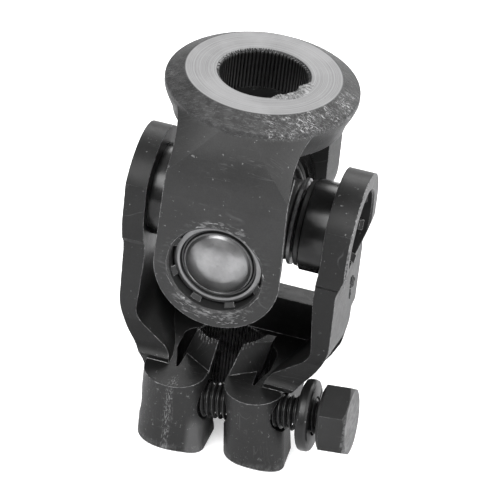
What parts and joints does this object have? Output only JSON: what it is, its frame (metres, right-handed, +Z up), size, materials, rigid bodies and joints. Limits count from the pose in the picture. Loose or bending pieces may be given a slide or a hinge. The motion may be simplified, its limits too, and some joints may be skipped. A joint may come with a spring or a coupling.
{
  "type": "steering column coupling",
  "caption": "Cardan joint of a steering column: forged upper yoke, stamped lower yoke with pinch clamp, cross on needle bearings.",
  "frame": {"origin": "on the axis of the lower clamp bore, at the flat foot of the lower yoke", "axes": "+Z up both bores, +X along the lower yoke's bearing holes towards the pinch bolt's head, -Y towards the pinch lugs"},
  "size_m": [0.0566, 0.0508, 0.0882],
  "materials": {
    "stamped_steel": "dark phosphate over stamped plate, satin",
    "forged_steel": "dark phosphate over forged and turned steel, bare machined ring on top",
    "ground_steel": "ground",
    "cup_steel": "satin drawn steel",
    "shield_steel": "dull pressed steel",
    "bolt_steel": "black oxide",
    "washer_steel": "black oxide, oiled",
    "seal_rubber": "moulded rubber",
    "pad_plastic": "moulded"
  },
  "bodies": {
    "lower": {"lower_yoke": "stamped_steel", "pinch_bolt": "bolt_steel", "lock_washer": "washer_steel", "cup_right": "cup_steel", "needles_right": "ground_steel", "thrust_pad_right": "pad_plastic", "seal_right": "seal_rubber", "cup_left": "cup_steel", "needles_left": "ground_steel", "thrust_pad_left": "pad_plastic", "seal_left": "seal_rubber"},
    "cross": {"cross": "ground_steel", "shield_right": "shield_steel", "shield_left": "shield_steel", "shield_rear": "shield_steel", "shield_front": "shield_steel"},
    "upper": {"upper_yoke": "forged_steel", "cup_rear": "cup_steel", "needles_rear": "ground_steel", "thrust_pad_rear": "pad_plastic", "seal_rear": "seal_rubber", "cup_front": "cup_steel", "needles_front": "ground_steel", "thrust_pad_front": "pad_plastic", "seal_front": "seal_rubber"}
  },
  "joints": [
    {"name": "cross_in_lower", "type": "hinge", "parent": "lower", "child": "cross", "pos_m": [0, 0, 0.054], "axis": [1, 0, 0], "range_deg": [-30, 30]},
    {"name": "upper_on_cross", "type": "hinge", "parent": "cross", "child": "upper", "pos_m": [0, 0, 0.054], "axis": [0, 1, 0], "range_deg": [-25, 25]}
  ]
}
